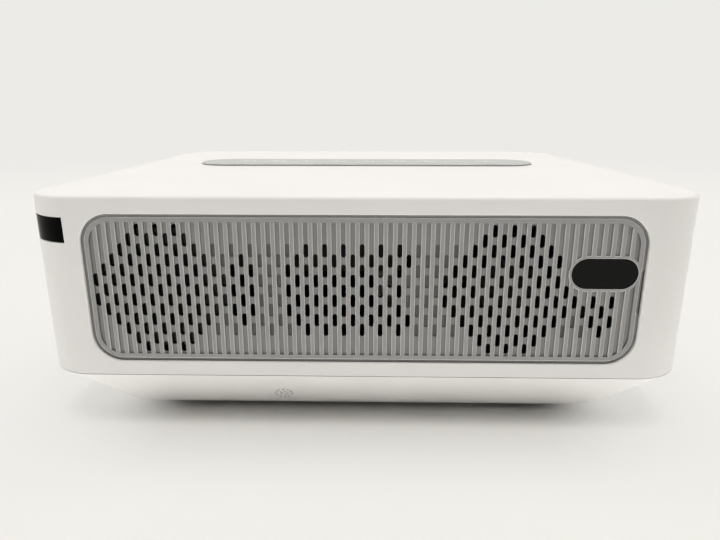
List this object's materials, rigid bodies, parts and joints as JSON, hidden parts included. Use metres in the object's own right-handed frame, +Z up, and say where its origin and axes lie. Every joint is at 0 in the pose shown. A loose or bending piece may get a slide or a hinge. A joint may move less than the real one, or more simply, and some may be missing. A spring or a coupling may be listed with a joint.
{
  "type": "projector with disc player",
  "caption": "Low rounded-box projector with slotted grille, top key strip, focusing lens and a motor-driven disc tray in its side.",
  "frame": {"origin": "on the surface the projector stands on, under the middle of the case", "axes": "+X towards the air intake side (away from the disc tray), +Y towards the lens end, +Z up"},
  "size_m": [0.296, 0.269, 0.1077],
  "materials": {
    "shell_white": "fine matt",
    "grille_grey": "satin",
    "plate_grey": "satin",
    "key_grey": "satin",
    "window_black": "gloss",
    "trim_dark": "satin",
    "frame_black": "matt",
    "tray_dark": "satin",
    "acetal_white": "satin",
    "foot_rubber": "matt",
    "belt_rubber": "matt",
    "brass": "machined",
    "screw_steel": "black zinc",
    "bridge_steel": "galvanised sheet",
    "motor_steel": "satin",
    "rod_steel": "ground",
    "sink_aluminium": "extruded",
    "lens_glass": "polished",
    "panel_glass": "polished",
    "speaker_grey": "matt",
    "circuit_green": "solder mask",
    "filter_foam": "open foam"
  },
  "bodies": {
    "case": {"bottom_cover": "shell_white", "case_screws": "screw_steel", "clamp_bridge": "bridge_steel", "condenser_and_fresnels": "lens_glass", "control_plate": "plate_grey", "corner_band": "window_black", "display_panel": "panel_glass", "drive_belt": "belt_rubber", "engine_housing": "frame_black", "engine_lid": "frame_black", "exhaust_fan_frame": "frame_black", "front_grille": "grille_grey", "intake_fan_frame": "frame_black", "intake_filter": "filter_foam", "intake_grille": "grille_grey", "ir_window": "window_black", "key_board": "circuit_green", "led_heatsink": "sink_aluminium", "led_module": "sink_aluminium", "lens_bezel": "trim_dark", "lens_mount": "frame_black", "loader_chassis": "frame_black", "loading_motor": "motor_steel", "main_board": "circuit_green", "mains_inlet": "frame_black", "port_panel": "trim_dark", "power_board": "circuit_green", "rear_grille": "grille_grey", "rubber_feet": "foot_rubber", "speakers": "speaker_grey", "top_cover": "shell_white", "tripod_bush": "brass"},
    "tray": {"disc_tray": "tray_dark", "tray_front": "window_black"},
    "tray_wheel": {"tray_gear": "acetal_white"},
    "pulley_wheel": {"pulley_gear": "acetal_white"},
    "motor_wheel": {"motor_pulley": "brass"},
    "deck": {"traverse_deck": "bridge_steel", "guide_rods": "rod_steel", "traverse_motors": "motor_steel"},
    "disc_table": {"turntable": "tray_dark"},
    "pickup": {"laser_pickup": "frame_black"},
    "screw": {"feed_screw": "rod_steel"},
    "slider": {"cam_slider": "acetal_white"},
    "clamp": {"disc_clamper": "acetal_white"},
    "lens": {"lens_barrel": "frame_black", "lens_elements": "lens_glass"},
    "lens_ring": {"focus_ring": "frame_black"},
    "exhaust_rotor": {"exhaust_fan_rotor": "frame_black"},
    "intake_rotor": {"intake_fan_rotor": "frame_black"},
    "back_key": {"back_key": "key_grey"},
    "down_key": {"down_key": "key_grey"},
    "eject_key": {"eject_key": "key_grey"},
    "enter_key": {"enter_key": "key_grey"},
    "left_key": {"left_key": "key_grey"},
    "power_key": {"power_key": "key_grey"},
    "right_key": {"right_key": "key_grey"},
    "source_key": {"source_key": "key_grey"},
    "up_key": {"up_key": "key_grey"}
  },
  "joints": [
    {"name": "tray_slide", "type": "slide", "parent": "case", "child": "tray", "axis": [-1, 0, 0], "range_m": [0, 0.13]},
    {"name": "tray_gear_spin", "type": "hinge", "parent": "case", "child": "tray_wheel", "pos_m": [-0.126, -0.006, 0.08], "axis": [0, 0, 1], "range_deg": [0, 745.85]},
    {"name": "pulley_gear_spin", "type": "hinge", "parent": "case", "child": "pulley_wheel", "pos_m": [-0.126, -0.0252, 0.078], "axis": [0, 0, 1], "range_deg": [-2235.54, 0]},
    {"name": "motor_pulley_spin", "type": "hinge", "parent": "case", "child": "motor_wheel", "pos_m": [-0.126, -0.06, 0.076], "axis": [0, 0, 1], "range_deg": [-6932.76, 0]},
    {"name": "deck_lift", "type": "slide", "parent": "case", "child": "deck", "axis": [0, 0, 1], "range_m": [0, 0.005]},
    {"name": "cam_slide", "type": "slide", "parent": "case", "child": "slider", "axis": [1, 0, 0], "range_m": [0, 0.02]},
    {"name": "disc_spin", "type": "hinge", "parent": "deck", "child": "disc_table", "pos_m": [-0.0775, -0.051, 0.0875], "axis": [0, 0, 1], "continuous": true},
    {"name": "pickup_slide", "type": "slide", "parent": "deck", "child": "pickup", "axis": [1, 0, 0], "range_m": [0, 0.035]},
    {"name": "feed_screw_turn", "type": "hinge", "parent": "deck", "child": "screw", "pos_m": [-0.03, -0.026, 0.08], "axis": [1, 0, 0], "range_deg": [0, 4201]},
    {"name": "clamper_spin", "type": "hinge", "parent": "case", "child": "clamp", "pos_m": [-0.0775, -0.051, 0.098], "axis": [0, 0, 1], "continuous": true},
    {"name": "lens_focus", "type": "slide", "parent": "case", "child": "lens", "axis": [0, 1, 0], "range_m": [0, 0.004]},
    {"name": "focus_ring_turn", "type": "hinge", "parent": "case", "child": "lens_ring", "pos_m": [0.072, 0.122, 0.06535], "axis": [0, 1, 0], "range_deg": [0, 90.5]},
    {"name": "exhaust_fan_spin", "type": "hinge", "parent": "case", "child": "exhaust_rotor", "pos_m": [0.064, -0.119, 0.06535], "axis": [0, 1, 0], "continuous": true},
    {"name": "intake_fan_spin", "type": "hinge", "parent": "case", "child": "intake_rotor", "pos_m": [0.137, 0, 0.06535], "axis": [1, 0, 0], "continuous": true},
    {"name": "power_press", "type": "slide", "parent": "case", "child": "power_key", "axis": [0, 0, -1], "range_m": [0, 0.0005], "stiffness_N_per_m": 600},
    {"name": "source_press", "type": "slide", "parent": "case", "child": "source_key", "axis": [0, 0, -1], "range_m": [0, 0.0005], "stiffness_N_per_m": 600},
    {"name": "left_press", "type": "slide", "parent": "case", "child": "left_key", "axis": [0, 0, -1], "range_m": [0, 0.0005], "stiffness_N_per_m": 600},
    {"name": "up_press", "type": "slide", "parent": "case", "child": "up_key", "axis": [0, 0, -1], "range_m": [0, 0.0005], "stiffness_N_per_m": 600},
    {"name": "enter_press", "type": "slide", "parent": "case", "child": "enter_key", "axis": [0, 0, -1], "range_m": [0, 0.0005], "stiffness_N_per_m": 600},
    {"name": "down_press", "type": "slide", "parent": "case", "child": "down_key", "axis": [0, 0, -1], "range_m": [0, 0.0005], "stiffness_N_per_m": 600},
    {"name": "right_press", "type": "slide", "parent": "case", "child": "right_key", "axis": [0, 0, -1], "range_m": [0, 0.0005], "stiffness_N_per_m": 600},
    {"name": "back_press", "type": "slide", "parent": "case", "child": "back_key", "axis": [0, 0, -1], "range_m": [0, 0.0005], "stiffness_N_per_m": 600},
    {"name": "eject_press", "type": "slide", "parent": "case", "child": "eject_key", "axis": [0, 0, -1], "range_m": [0, 0.0005], "stiffness_N_per_m": 600}
  ],
  "couplings": [
    {"joint": "tray_gear_spin", "follows": "tray_slide", "rad_per_m": 100},
    {"joint": "pulley_gear_spin", "follows": "tray_slide", "rad_per_m": -300},
    {"joint": "motor_pulley_spin", "follows": "tray_slide", "rad_per_m": -930.63},
    {"joint": "cam_slide", "follows": "deck_lift", "ratio": 4},
    {"joint": "feed_screw_turn", "follows": "pickup_slide", "rad_per_m": 2094.4},
    {"joint": "focus_ring_turn", "follows": "lens_focus", "rad_per_m": 392.7}
  ]
}
